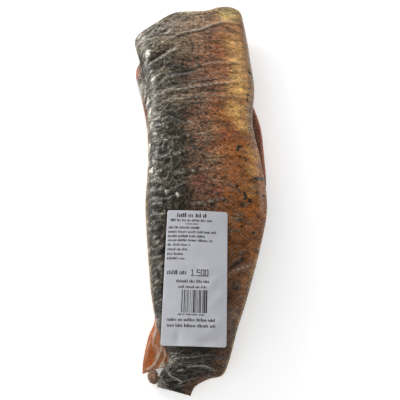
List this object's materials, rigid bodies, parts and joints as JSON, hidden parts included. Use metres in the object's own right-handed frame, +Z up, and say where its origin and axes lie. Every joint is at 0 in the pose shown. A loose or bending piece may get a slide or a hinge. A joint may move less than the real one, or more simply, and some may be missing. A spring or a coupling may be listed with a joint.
{
  "type": "pack of smoked salmon",
  "caption": "Hot-smoked salmon fillets, skin side up, sealed flat in a tight clear vacuum pack with a white weight label near the tail.",
  "frame": {"origin": "centre of the bounding box in plan, on the surface that the pack lies on", "axes": "+X across the fish from its back to its belly, +Y along it from the tail to the head end, +Z up through the labelled side"},
  "size_m": [0.148, 0.4374, 0.0438],
  "materials": {
    "film_over_fish": "clear glossy film drawn tight over grey-brown and golden fish skin",
    "label_paper": "smooth white label paper, slightly wavy"
  },
  "bodies": {
    "root": {"sealed_pack": "film_over_fish", "label": "label_paper"}
  },
  "joints": []
}
